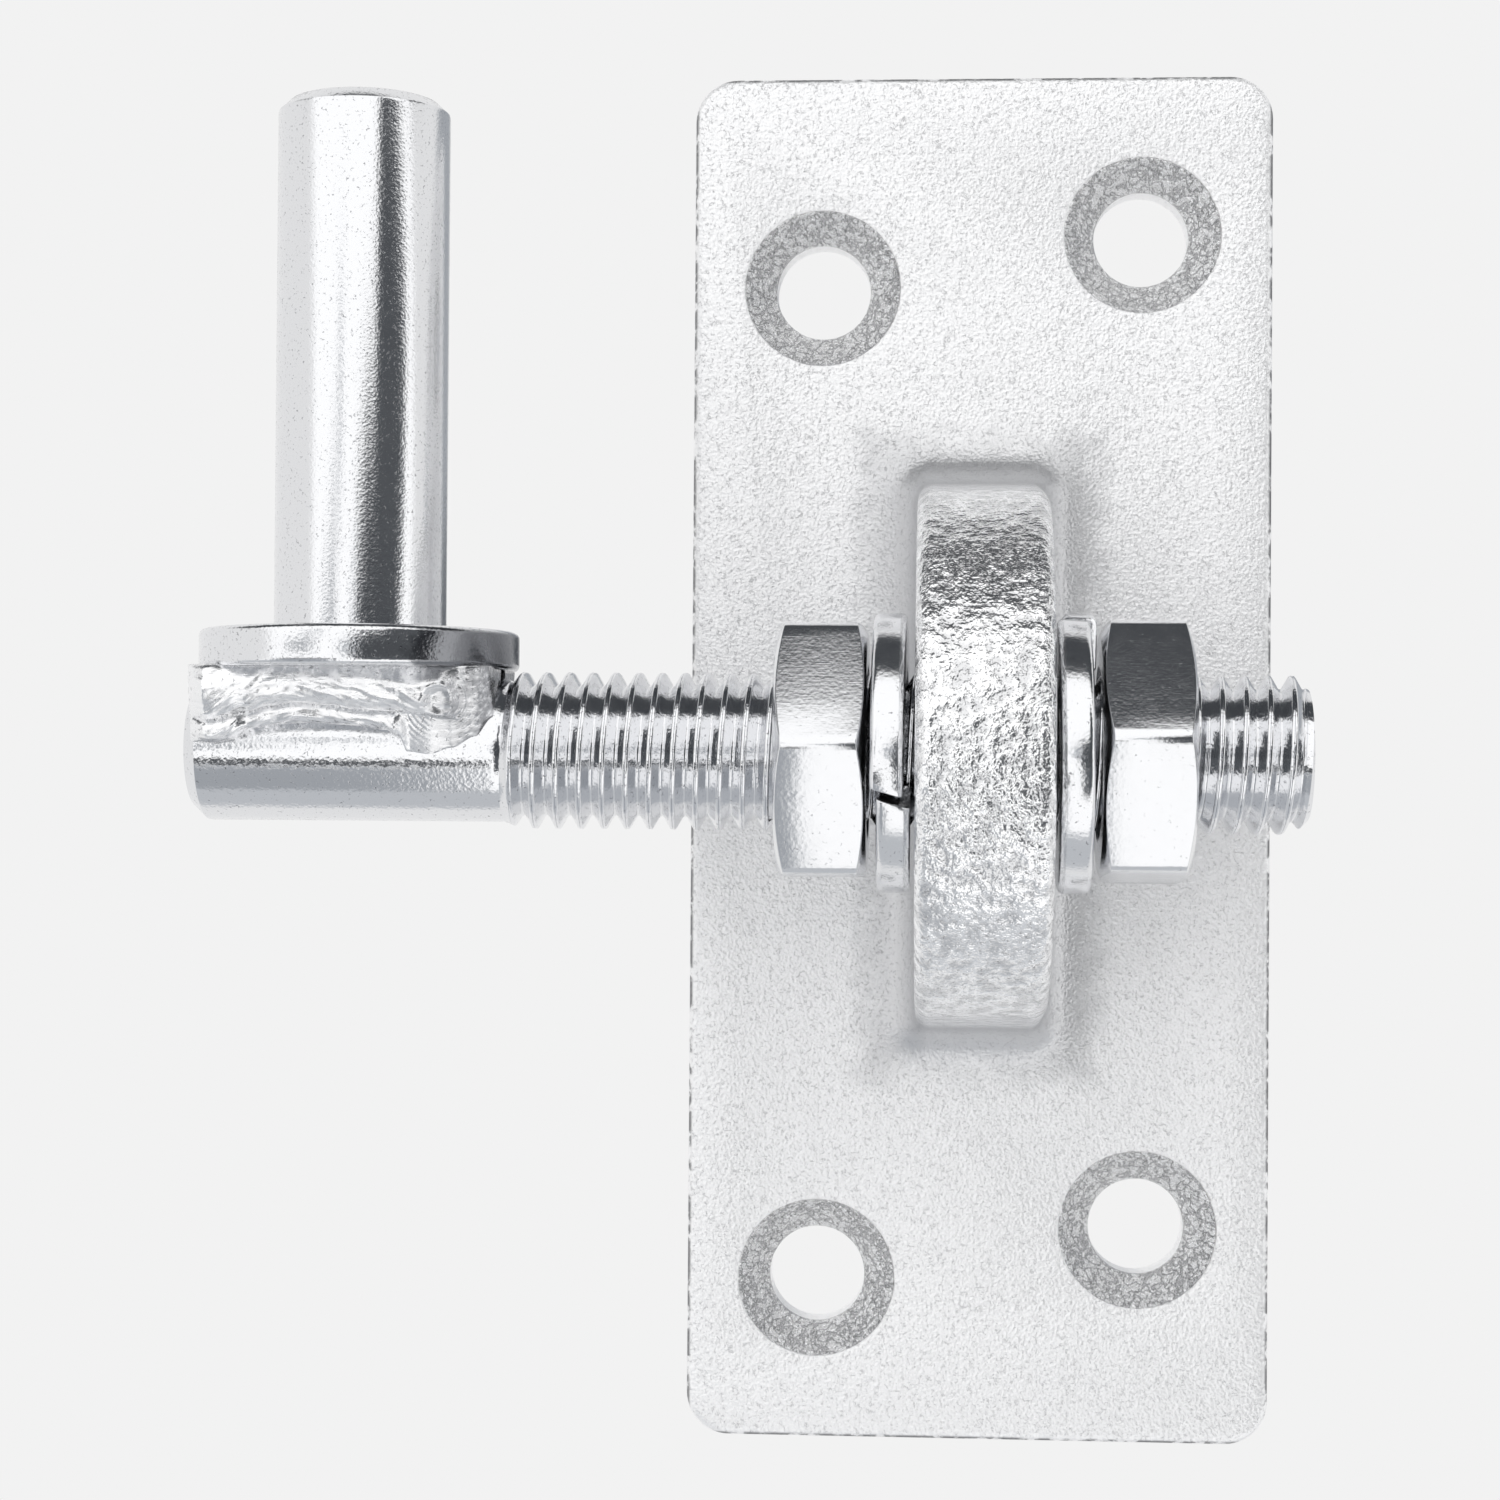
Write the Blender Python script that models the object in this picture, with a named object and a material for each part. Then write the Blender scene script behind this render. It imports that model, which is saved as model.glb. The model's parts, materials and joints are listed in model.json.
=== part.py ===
"""Adjustable hinge hook plate: a screw-on plate whose ear carries a threaded hook, clamped by two nuts.

Axes: +X runs along the rod to the right, +Y goes into the wall, +Z is up.
The origin is the centre of the plate's back face. Sizes are in metres.
"""

import math

import bmesh
import bpy
from mathutils import Vector

# Plate
PLATE_WIDTH = 0.0475
PLATE_HEIGHT = 0.112
PLATE_THICKNESS = 0.005
PLATE_CORNER_RADIUS = 0.0035
PLATE_EDGE_ROUND = 0.0007

# Screw holes, two in each column, the right column higher than the left
HOLE_DIAMETER = 0.0078
COUNTERSINK_DIAMETER = 0.0128
COUNTERSINK_DEPTH = 0.0022
HOLE_COLUMN_SPACING = 0.0262
HOLE_ROW_SPACING = 0.0815
HOLE_STAGGER = 0.0043

# Ear, cast in one with the plate
EAR_THICKNESS = 0.0101
EAR_NOSE_RADIUS = 0.0195
EAR_TIP_DISTANCE = 0.014
EAR_DRAFT_DEGREES = 8.0
EAR_RIM_ROUND = 0.0011
EAR_FOOT_FILLET = 0.0045
FILLET_OVERLAP = 0.00004
EAR_BORE_CLEARANCE = 0.0006
EAR_BORE_CHAMFER = 0.0005

# Rod: its axis lies this far in front of the wall, and the pin stands this far left of the plate's middle
ROD_DISTANCE = 0.025
PIN_REACH = 0.0475
ROD_TAIL = 0.0125
ROD_LENGTH = 0.0842
ROD_CHAMFER = 0.0010
SHANK_LENGTH = 0.0235
SHANK_DIAMETER = 0.0109

# Thread: flank angle 60 degrees, hand +1 is right-hand and -1 left-hand
THREAD_DIAMETER = 0.0119
THREAD_PITCH = 0.00175
THREAD_HAND = -1
THREAD_CREST_SHARE = 0.2
THREAD_ROOT_SHARE = 0.125
THREAD_END_TURN = 0.436
THREAD_RUNOUT = 0.00175
THREAD_CLEARANCE = 0.00025

# Pin and the collar on its foot
PIN_DIAMETER = 0.0131
PIN_LENGTH = 0.04375
PIN_CHAMFER = 0.0009
COLLAR_DIAMETER = 0.0243
COLLAR_THICKNESS = 0.003
COLLAR_EDGE_ROUND = 0.0004
COLLAR_BORE_CLEARANCE = 0.0003

# Weld beads, in front of and behind the shank
WELD_ROOT_GAP = 0.00055
WELD_END_INSET = 0.0008
WELD_REACH = 0.0032
WELD_BULGE = 0.0007
WELD_TOE_DEGREES = 11.0
WELD_RIPPLE_SPACING = 0.0017
WELD_RIPPLE_HEIGHT = 0.00022

# Thin hexagon nuts
NUT_ACROSS_FLATS = 0.0187
NUT_THICKNESS = 0.0068
NUT_FACE_DIAMETER = 0.0179
NUT_CHAMFER_DEGREES = 30.0
NUT_COUNTERSINK = 0.0005
NUT_BORE_RELIEF = 0.00005
NUT_TURN_DEGREES = 3.5

# Split spring washers
WASHER_DIAMETER = 0.0211
WASHER_SECTION = 0.0025
WASHER_RISE = 0.0005
WASHER_EDGE_CHAMFER = 0.0005
WASHER_BORE_CLEARANCE = 0.0003
WASHER_SPLIT_GAP = 0.0008
WASHER_SPLIT_SLOPE = 0.29
INNER_SPLIT_DEGREES = 199.5
OUTER_SPLIT_DEGREES = 108.0

# Clearance that seated pieces keep
SEAT_GAP = 0.0003

# Facets
TURNED_SEGMENTS = 48
HOLE_SEGMENTS = 32
THREAD_SEGMENTS = 20
WASHER_SEGMENTS = 36
ARC_STEPS = 4
NOSE_STEPS = 16
CUT_MARGIN = 0.002

# Places and sizes that follow from the ones above
rod_left = -PIN_REACH - ROD_TAIL
rod_right = rod_left + ROD_LENGTH
thread_start = rod_left + SHANK_LENGTH
thread_major = THREAD_DIAMETER / 2
flank_width = (1 - THREAD_CREST_SHARE - THREAD_ROOT_SHARE) / 2 * THREAD_PITCH
thread_minor = thread_major - flank_width / math.tan(math.radians(30))
shank_radius = SHANK_DIAMETER / 2
washer_near = EAR_THICKNESS / 2 + SEAT_GAP
washer_far = washer_near + WASHER_SECTION + WASHER_RISE
nut_near = washer_far + SEAT_GAP
nut_far = nut_near + NUT_THICKNESS
collar_bottom = shank_radius + WELD_ROOT_GAP
nose_centre = -ROD_DISTANCE - EAR_TIP_DISTANCE + EAR_NOSE_RADIUS
rod_axis = Vector((0, -ROD_DISTANCE, 0))


def material(name, color, roughness, metallic):
    made = bpy.data.materials.new(name)
    made.use_nodes = True
    shader = made.node_tree.nodes["Principled BSDF"]
    shader.inputs["Base Color"].default_value = (*color, 1)
    shader.inputs["Roughness"].default_value = roughness
    shader.inputs["Metallic"].default_value = metallic
    made.diffuse_color = (*color, 1)
    return made


def skin(rings, closed=False):
    """A mesh through rings of equal counts: closed joins the last ring to the first, or both ends get a cap."""
    bm = bmesh.new()
    rows = [[bm.verts.new(point) for point in ring] for ring in rings]
    following = rows[1:] + ([rows[0]] if closed else [])
    for row, after in zip(rows, following):
        for i in range(len(row)):
            j = (i + 1) % len(row)
            bm.faces.new((row[i], row[j], after[j], after[i]))
    if not closed:
        bm.faces.new(rows[0])
        bm.faces.new(rows[-1])
    return bm


def finish(bm, name, look, location=(0, 0, 0)):
    """Turn a bmesh into a named object with its material, its faces pointing out."""
    bmesh.ops.recalc_face_normals(bm, faces=bm.faces)
    mesh = bpy.data.meshes.new(name)
    bm.to_mesh(mesh)
    bm.free()
    mesh.shade_smooth()
    mesh.set_sharp_from_angle(angle=math.radians(35))
    if look:
        mesh.materials.append(look)
    made = bpy.data.objects.new(name, mesh)
    made.location = location
    bpy.context.scene.collection.objects.link(made)
    return made


def tool(bm, name, location=(0, 0, 0)):
    """A shape that only cuts or adds to another, and isn't a piece of the object."""
    made = finish(bm, name, None, location)
    made.hide_render = True
    made.display_type = "WIRE"
    return made


def boolean(target, operation, with_object):
    step = target.modifiers.new(with_object.name, "BOOLEAN")
    step.operation = operation
    step.solver = "EXACT"
    step.object = with_object


def circle(radius, segments):
    turn = 2 * math.pi / segments
    return [(radius * math.cos(i * turn), radius * math.sin(i * turn)) for i in range(segments)]


def turned(profile, segments, axis, closed=False):
    """Revolve (along, radius) pairs about the X, Y or Z axis."""
    place = {
        "X": lambda along, u, v: Vector((along, u, v)),
        "Y": lambda along, u, v: Vector((v, along, u)),
        "Z": lambda along, u, v: Vector((u, v, along)),
    }[axis]
    return skin([[place(along, u, v) for u, v in circle(r, segments)] for along, r in profile], closed)


def arc(steps):
    """(sine, cosine) pairs for angles from 0 to 90 degrees."""
    return [(math.sin(i / steps * math.pi / 2), math.cos(i / steps * math.pi / 2)) for i in range(steps + 1)]


def rounded_rectangle(half_width, half_height, radius, y):
    """A rounded outline in a plane parallel to the plate."""
    points = []
    for side_x, side_z, start in ((1, 1, 0), (-1, 1, 90), (-1, -1, 180), (1, -1, 270)):
        for i in range(ARC_STEPS + 1):
            angle = math.radians(start + 90 * i / ARC_STEPS)
            x = side_x * (half_width - radius) + radius * math.cos(angle)
            z = side_z * (half_height - radius) + radius * math.sin(angle)
            points.append(Vector((x, y, z)))
    return points


def plate_blank():
    """The plate, lofted from its back face to the rounded edge of its front."""
    rings = [rounded_rectangle(PLATE_WIDTH / 2, PLATE_HEIGHT / 2, PLATE_CORNER_RADIUS, 0)]
    for sine, cosine in arc(ARC_STEPS):
        inset = PLATE_EDGE_ROUND * (1 - cosine)
        y = -PLATE_THICKNESS + PLATE_EDGE_ROUND * (1 - sine)
        half_width = PLATE_WIDTH / 2 - inset
        half_height = PLATE_HEIGHT / 2 - inset
        rings.append(rounded_rectangle(half_width, half_height, PLATE_CORNER_RADIUS - inset, y))
    return skin(rings)


def ear_half_height(y, inset=0.0):
    """Half the ear's height at a distance in front of the wall: its sides are tangent to the round nose."""
    draft = math.radians(EAR_DRAFT_DEGREES)
    return (EAR_NOSE_RADIUS - inset + math.sin(draft) * (y - nose_centre)) / math.cos(draft)


def ear_outline(x, inset):
    """The ear seen from the end of the rod: drafted sides that run into a round nose."""
    root = -PLATE_THICKNESS / 2
    points = [Vector((x, root, ear_half_height(root, inset)))]
    for i in range(NOSE_STEPS + 1):
        angle = math.radians(EAR_DRAFT_DEGREES + (180 - 2 * EAR_DRAFT_DEGREES) * i / NOSE_STEPS)
        radius = EAR_NOSE_RADIUS - inset
        points.append(Vector((x, nose_centre - radius * math.sin(angle), radius * math.cos(angle))))
    points.append(Vector((x, root, -ear_half_height(root, inset))))
    return points


def ear_blank():
    """The ear, lofted from one side face to the other, with a rounded rim at each."""
    face = EAR_THICKNESS / 2
    rim = [(face - EAR_RIM_ROUND * (1 - sine), EAR_RIM_ROUND * (1 - cosine)) for sine, cosine in arc(ARC_STEPS)]
    rings = [ear_outline(-x, inset) for x, inset in reversed(rim)]
    rings += [ear_outline(x, inset) for x, inset in rim]
    return skin(rings)


def ear_foot():
    """The fillet round the ear's foot, sunk a little into both the plate and the ear."""
    rings = []
    levels = [(-PLATE_THICKNESS / 2, EAR_FOOT_FILLET)]
    levels += [(EAR_FOOT_FILLET * (1 - cosine), EAR_FOOT_FILLET * (1 - sine)) for sine, cosine in arc(ARC_STEPS)]
    for depth, flare in levels:
        y = -PLATE_THICKNESS - depth
        flare = flare - FILLET_OVERLAP
        rings.append(rounded_rectangle(EAR_THICKNESS / 2 + flare, ear_half_height(y) + flare,
                                       EAR_RIM_ROUND + flare, y))
    return skin(rings)


def countersunk_hole(x, z):
    """Cutter for one screw hole: a straight bore behind, a cone at the front."""
    bore = HOLE_DIAMETER / 2
    head = COUNTERSINK_DIAMETER / 2
    flare = (head - bore) / COUNTERSINK_DEPTH * CUT_MARGIN
    profile = [
        (CUT_MARGIN, bore),
        (-PLATE_THICKNESS + COUNTERSINK_DEPTH, bore),
        (-PLATE_THICKNESS - CUT_MARGIN, head + flare),
    ]
    return tool(turned(profile, HOLE_SEGMENTS, "Y"), "screw_hole_cutter", (x, 0, z))


def ear_bore():
    """Cutter for the rod's hole, with a small chamfer at each mouth."""
    radius = thread_major + EAR_BORE_CLEARANCE
    face = EAR_THICKNESS / 2
    wide = radius + EAR_BORE_CHAMFER + CUT_MARGIN
    profile = [
        (-face - CUT_MARGIN, wide),
        (-face + EAR_BORE_CHAMFER, radius),
        (face - EAR_BORE_CHAMFER, radius),
        (face + CUT_MARGIN, wide),
    ]
    return tool(turned(profile, TURNED_SEGMENTS, "X"), "ear_bore_cutter", rod_axis)


def make_plate(look):
    plate = finish(plate_blank(), "mounting_plate", look)
    boolean(plate, "UNION", tool(ear_foot(), "ear_foot"))
    boolean(plate, "UNION", tool(ear_blank(), "ear_blank"))
    boolean(plate, "DIFFERENCE", ear_bore())
    for side in (-1, 1):
        for row in (-1, 1):
            x = side * HOLE_COLUMN_SPACING / 2
            z = row * HOLE_ROW_SPACING / 2 + side * HOLE_STAGGER / 2
            boolean(plate, "DIFFERENCE", countersunk_hole(x, z))
    return plate


def thread_surface(bm, x_start, x_end, radius_at):
    """Add a threaded surface between two planes, and return the circles of vertices that end it.

    Its rows of vertices follow the helix, four to a pitch, and stop at the planes. There, radius_at(x, on_crest)
    must not depend on on_crest.
    """
    crest = THREAD_CREST_SHARE / 2
    root = THREAD_ROOT_SHARE / 2
    places = ((-crest, True), (crest, True), (0.5 - root, False), (0.5 + root, False))
    reference = rod_right - THREAD_END_TURN * THREAD_PITCH
    first = 4 * (math.floor((x_start - reference) / THREAD_PITCH) - 2)
    last = 4 * (math.ceil((x_end - reference) / THREAD_PITCH) + 2)
    turn = 2 * math.pi / THREAD_SEGMENTS
    ends = {(x, j): circle_vert(bm, x, radius_at(x, True), j * turn)
            for x in (x_start, x_end) for j in range(THREAD_SEGMENTS)}
    verts = {}
    for k in range(first, last + 1):
        place, on_crest = places[k % 4]
        for j in range(THREAD_SEGMENTS):
            x = reference + THREAD_PITCH * (k // 4 + place + THREAD_HAND * j / THREAD_SEGMENTS)
            if x_start < x < x_end:
                verts[k, j] = circle_vert(bm, x, radius_at(x, on_crest), j * turn)
            else:
                verts[k, j] = ends[x_start if x <= x_start else x_end, j]

    def vert(k, j):
        if j < THREAD_SEGMENTS:
            return verts[k, j]
        return verts[min(max(k + 4 * THREAD_HAND, first), last), 0]

    for k in range(first, last):
        for j in range(THREAD_SEGMENTS):
            corners = dict.fromkeys((vert(k, j), vert(k, j + 1), vert(k + 1, j + 1), vert(k + 1, j)))
            if len(corners) > 2:
                bm.faces.new(corners)
    return [[ends[x, j] for j in range(THREAD_SEGMENTS)] for x in (x_start, x_end)]


def circle_vert(bm, x, radius, angle):
    return bm.verts.new((x, radius * math.cos(angle), radius * math.sin(angle)))


def make_rod(look):
    """The rod: plain shank at the left, thread that fades in over its run-out, chamfered free end."""

    def radius_at(x, on_crest):
        full = thread_major if on_crest else thread_minor
        fade = min((x - thread_start) / THREAD_RUNOUT, 1)
        return min(shank_radius + (full - shank_radius) * fade, thread_minor + rod_right - x)

    bm = bmesh.new()
    ring, free_end = thread_surface(bm, thread_start, rod_right, radius_at)
    bm.faces.new(free_end)
    turn = 2 * math.pi / THREAD_SEGMENTS
    for x, radius in ((rod_left + ROD_CHAMFER, shank_radius), (rod_left, shank_radius - ROD_CHAMFER)):
        after = [circle_vert(bm, x, radius, j * turn) for j in range(THREAD_SEGMENTS)]
        for j in range(THREAD_SEGMENTS):
            bm.faces.new((ring[j - 1], ring[j], after[j], after[j - 1]))
        ring = after
    bm.faces.new(ring)
    return finish(bm, "threaded_rod", look, rod_axis)


def make_nut(name, side, look):
    """A thin nut: turned ring with chamfers, cut to a hexagon, then threaded by a plug with the rod's own helix."""
    bore = thread_minor + THREAD_CLEARANCE + NUT_BORE_RELIEF
    mouth = thread_major + THREAD_CLEARANCE + NUT_COUNTERSINK
    face = NUT_FACE_DIAMETER / 2
    corner = NUT_ACROSS_FLATS / 2 / math.cos(math.radians(30))
    slope = (corner + CUT_MARGIN - face) * math.tan(math.radians(NUT_CHAMFER_DEGREES))
    half = NUT_THICKNESS / 2
    profile = [
        (-half, mouth),
        (-half, face),
        (-half + slope, corner + CUT_MARGIN),
        (half - slope, corner + CUT_MARGIN),
        (half, face),
        (half, mouth),
        (half - (mouth - bore), bore),
        (-half + (mouth - bore), bore),
    ]
    centre = side * (nut_near + nut_far) / 2
    location = rod_axis + Vector((centre, 0, 0))
    nut = finish(turned(profile, TURNED_SEGMENTS, "X", closed=True), name, look, location)

    reach = half + CUT_MARGIN
    bar = tool(turned([(-reach, corner), (reach, corner)], 6, "X"), name + "_hexagon", location)
    bar.rotation_euler.x = math.radians(-NUT_TURN_DEGREES)
    boolean(nut, "INTERSECT", bar)

    def radius_at(x, on_crest):
        full = (thread_major if on_crest else thread_minor) + THREAD_CLEARANCE
        fade = min((reach - abs(x - centre)) / (CUT_MARGIN / 2), 1)
        return thread_major + (full - thread_major) * fade

    plug = bmesh.new()
    for ring in thread_surface(plug, centre - reach, centre + reach, radius_at):
        plug.faces.new(ring)
    boolean(nut, "DIFFERENCE", tool(plug, name + "_thread", rod_axis))
    return nut


def make_spring_washer(name, side, split_degrees, look):
    """A split ring: a bevelled section swept almost once round, rising a little from one end to the other."""
    inner = thread_major + WASHER_BORE_CLEARANCE
    outer = WASHER_DIAMETER / 2
    half = WASHER_SECTION / 2
    cut = WASHER_EDGE_CHAMFER
    section = [
        (-half, inner + cut),
        (-half, outer - cut),
        (-half + cut, outer),
        (half - cut, outer),
        (half, outer - cut),
        (half, inner + cut),
        (half - cut, inner),
        (-half + cut, inner),
    ]
    gap_angle = WASHER_SPLIT_GAP / outer
    rings = []
    for i in range(WASHER_SEGMENTS + 1):
        share = i / WASHER_SEGMENTS
        angle = math.radians(split_degrees) + gap_angle / 2 + share * (2 * math.pi - gap_angle)
        rise = side * WASHER_RISE * (share - 0.5)
        ring = []
        for along, radius in section:
            turn = angle + WASHER_SPLIT_SLOPE * along / outer
            ring.append(Vector((along + rise, radius * math.cos(turn), radius * math.sin(turn))))
        rings.append(ring)
    centre = Vector((side * (washer_near + washer_far) / 2, 0, 0))
    return finish(skin(rings), name, look, rod_axis + centre)


def make_pin(look):
    radius = PIN_DIAMETER / 2
    profile = [
        (0, radius),
        (PIN_LENGTH - PIN_CHAMFER, radius),
        (PIN_LENGTH, radius - PIN_CHAMFER),
    ]
    foot = Vector((-PIN_REACH, 0, shank_radius + SEAT_GAP))
    return finish(turned(profile, TURNED_SEGMENTS, "Z"), "hook_pin", look, rod_axis + foot)


def make_collar(look):
    """The washer on the pin's foot, its outer edges rounded."""
    outer = COLLAR_DIAMETER / 2
    bore = PIN_DIAMETER / 2 + COLLAR_BORE_CLEARANCE
    edge = COLLAR_EDGE_ROUND
    profile = [(0, bore)]
    for sine, cosine in arc(2):
        profile.append((edge * (1 - cosine), outer - edge * (1 - sine)))
    for sine, cosine in arc(2):
        profile.append((COLLAR_THICKNESS - edge * (1 - sine), outer - edge * (1 - cosine)))
    profile.append((COLLAR_THICKNESS, bore))
    place = rod_axis + Vector((-PIN_REACH, 0, collar_bottom))
    return finish(turned(profile, TURNED_SEGMENTS, "Z", closed=True), "pin_collar", look, place)


def make_weld(name, side, look):
    """A rippled fillet between the shank and the collar's underside, on the front (-1) or the rear (+1)."""
    left = rod_left + WELD_END_INSET
    right = thread_start
    inner = shank_radius + SEAT_GAP
    top = collar_bottom - SEAT_GAP
    start = math.asin(top / inner)
    toe = math.radians(WELD_TOE_DEGREES)
    count = 4 * round((right - left) / WELD_RIPPLE_SPACING)
    rings = []
    for i in range(count + 1):
        share = i / count
        fullness = 0.25 + 0.75 * math.sqrt(math.sin(math.pi * min(max(share, 0.02), 0.98)))
        ripple = WELD_RIPPLE_HEIGHT * math.cos(share * count / 4 * 2 * math.pi)
        x = left + (right - left) * share
        ring = []
        for step in range(ARC_STEPS + 1):
            angle = toe + (start - toe) * step / ARC_STEPS
            ring.append((inner * math.cos(angle), inner * math.sin(angle)))
        lip = inner + WELD_REACH * fullness
        toe_y = (inner + 0.0002) * math.cos(toe)
        toe_z = (inner + 0.0002) * math.sin(toe) - 0.0003 * fullness
        for step in range(ARC_STEPS + 1):
            mix = step / ARC_STEPS
            swell = (WELD_BULGE * fullness + ripple) * math.sin(math.pi * mix) + ripple * (1 - mix) * 0.5
            y = lip + (toe_y - lip) * mix + swell * 0.8
            z = top + (toe_z - top) * mix - swell * 0.6 * math.sin(math.pi * mix)
            ring.append((y, z))
        rings.append([Vector((x, side * y, z)) for y, z in ring])
    return finish(skin(rings), name, look, rod_axis)


def main():
    for old in list(bpy.data.objects):
        bpy.data.objects.remove(old)
    casting = material("galvanised_casting", (0.78, 0.79, 0.80), 0.45, 0.9)
    bright = material("bright_zinc", (0.80, 0.81, 0.83), 0.22, 1.0)
    spring = material("zinc_spring_steel", (0.76, 0.77, 0.80), 0.16, 1.0)
    weld = material("weld_metal", (0.82, 0.82, 0.83), 0.3, 1.0)
    make_plate(casting)
    rod = make_rod(bright)
    for piece in (
        make_pin(bright),
        make_collar(bright),
        make_weld("front_weld_bead", -1, weld),
        make_weld("rear_weld_bead", 1, weld),
    ):
        piece.parent = rod
        piece.location = piece.location - rod.location
    make_nut("inner_nut", -1, bright)
    make_nut("outer_nut", 1, bright)
    make_spring_washer("inner_spring_washer", -1, INNER_SPLIT_DEGREES, spring)
    make_spring_washer("outer_spring_washer", 1, OUTER_SPLIT_DEGREES, spring)


main()
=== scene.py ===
"""Adjustable hinge hook plate, dressed for a plain studio picture.

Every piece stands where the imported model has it, in metres: +X along the rod, +Y into the wall, +Z up.
"""

import json
import math

import bmesh
import bpy
from bmesh.types import BMEdge, BMVert
from bpy.props import FloatProperty, FloatVectorProperty, IntProperty, PointerProperty
from bpy.types import Operator, Panel, PropertyGroup
from mathutils import Matrix, Vector, noise


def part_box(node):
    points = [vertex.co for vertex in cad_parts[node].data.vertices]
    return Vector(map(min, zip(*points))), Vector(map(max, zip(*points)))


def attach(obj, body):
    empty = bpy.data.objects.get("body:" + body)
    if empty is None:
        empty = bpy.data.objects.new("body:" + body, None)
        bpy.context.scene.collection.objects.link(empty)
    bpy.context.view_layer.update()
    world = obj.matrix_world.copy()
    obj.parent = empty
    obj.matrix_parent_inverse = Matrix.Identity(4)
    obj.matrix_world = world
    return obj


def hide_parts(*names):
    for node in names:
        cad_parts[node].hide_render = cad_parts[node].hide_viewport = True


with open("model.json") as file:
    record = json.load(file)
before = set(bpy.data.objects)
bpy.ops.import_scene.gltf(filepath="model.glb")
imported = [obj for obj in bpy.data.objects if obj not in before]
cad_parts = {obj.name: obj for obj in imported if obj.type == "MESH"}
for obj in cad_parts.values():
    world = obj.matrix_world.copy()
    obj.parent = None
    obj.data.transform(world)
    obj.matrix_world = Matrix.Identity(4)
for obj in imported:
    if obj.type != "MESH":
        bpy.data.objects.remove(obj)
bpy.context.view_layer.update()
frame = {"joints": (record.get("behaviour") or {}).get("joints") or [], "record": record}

bl_info = {
    "name": "Adjustable Hinge Hook Plate",
    "version": (1, 0, 0),
    "blender": (4, 5, 0),
    "location": "3D View > Sidebar > Hook Plate",
    "description": "Models a screw-on plate with an adjustable hinge hook, two nuts and spring washers",
    "category": "Add Mesh",
}

plate_low, plate_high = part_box("mounting_plate")
rod_low, rod_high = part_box("threaded_rod")
pin_low, pin_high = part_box("hook_pin")
collar_low, collar_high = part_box("pin_collar")
swivel = Vector(next(joint["pos_m"] for joint in frame["joints"] if joint["name"] == "hook_swivel"))
ROD_AXIS = (1, 0, 0)
PITCH = 0.00175
HAND = -1


def length(name, description, default):
    return FloatProperty(name=name, description=description, default=default, unit="LENGTH",
                         subtype="DISTANCE", precision=5)


def angle(name, description, degrees):
    return FloatProperty(name=name, description=description, default=math.radians(degrees), subtype="ANGLE",
                         unit="ROTATION")


def number(name, description, default):
    return FloatProperty(name=name, description=description, default=default)


def tint(name, description, default):
    return FloatVectorProperty(name=name, description=description, default=default, size=3, min=0, max=1,
                               subtype="COLOR")


class PlateSizes(PropertyGroup):
    thickness: length("Thickness", "Thickness of the flat plate", 0.005)
    corner: length("Corner radius", "Radius of the plate's four corners", 0.0035)
    edge: length("Edge round", "Rounding of the plate's front edge", 0.0007)
    hole: length("Hole diameter", "Diameter of the screw holes", 0.0078)
    sink: length("Countersink diameter", "Diameter of the countersinks at the plate's front", 0.0128)
    sink_depth: length("Countersink depth", "Depth of the countersinks", 0.0022)
    columns: length("Column spacing", "Distance between the two columns of holes", 0.0262)
    rows: length("Row spacing", "Distance between the two rows of holes", 0.0815)
    stagger: length("Stagger", "How much higher the right column of holes sits", 0.0043)
    ear: length("Ear thickness", "Thickness of the ear along the rod", 0.0101)
    nose: length("Nose radius", "Radius of the ear's round nose", 0.0205)
    tip: length("Nose reach", "Distance from the rod's axis to the ear's tip", 0.014)
    draft: angle("Draft", "Slope of the ear's upper and lower sides", 8)
    rim: length("Rim round", "Rounding of the ear's rim", 0.0011)
    fillet: length("Foot fillet", "Radius of the fillet at the ear's foot", 0.0045)
    bore: length("Bore", "Diameter of the hole that the rod passes", 0.0131)


class HookSizes(PropertyGroup):
    shank: length("Shank diameter", "Diameter of the plain part of the rod", 0.0109)
    shank_length: length("Shank length", "Length of the plain part of the rod", 0.0235)
    chamfer: length("Rod chamfer", "Chamfer at the rod's ends", 0.001)
    thread: length("Thread diameter", "Diameter over the thread's crests", 0.0119)
    root: length("Root diameter", "Diameter at the thread's roots", 0.00985)
    end_turn: number("Thread end", "Share of a turn between the last crest and the rod's end", 0.436)
    runout: length("Run-out", "Length over which the thread fades into the shank", 0.00175)
    seam: length("Crest seam", "Depth of the fine seam that rolling leaves on each crest", 0.00007)
    pin_chamfer: length("Pin chamfer", "Chamfer at the pin's top", 0.0009)
    collar_edge: length("Collar round", "Rounding of the collar's edges", 0.0005)
    facets: IntProperty(name="Facets", description="Steps in one turn of the thread", default=64, min=16)


class NutSizes(PropertyGroup):
    flats: length("Across flats", "Distance between two opposite flats", 0.0187)
    thickness: length("Thickness", "Thickness of a nut", 0.0068)
    face: length("Face diameter", "Diameter of the flat part of a nut's face", 0.0178)
    chamfer: angle("Chamfer", "Slope of the turned chamfer on the corners", 20)
    near: length("Nut place", "Distance from the plate's middle to a nut's near face", 0.00865)
    clearance: length("Thread clearance", "Radial clearance between nut and rod", 0.00025)
    near_turn: angle("Near turn", "Turn of the pin side nut about the rod", 2.5)
    far_turn: angle("Far turn", "Turn of the free end nut about the rod", 6.4)
    corner: length("Corner round", "Rounding of the hexagon's six corners", 0.0010)
    edge: length("Edge wear", "Rounding of a nut's edges", 0.00022)


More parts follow.
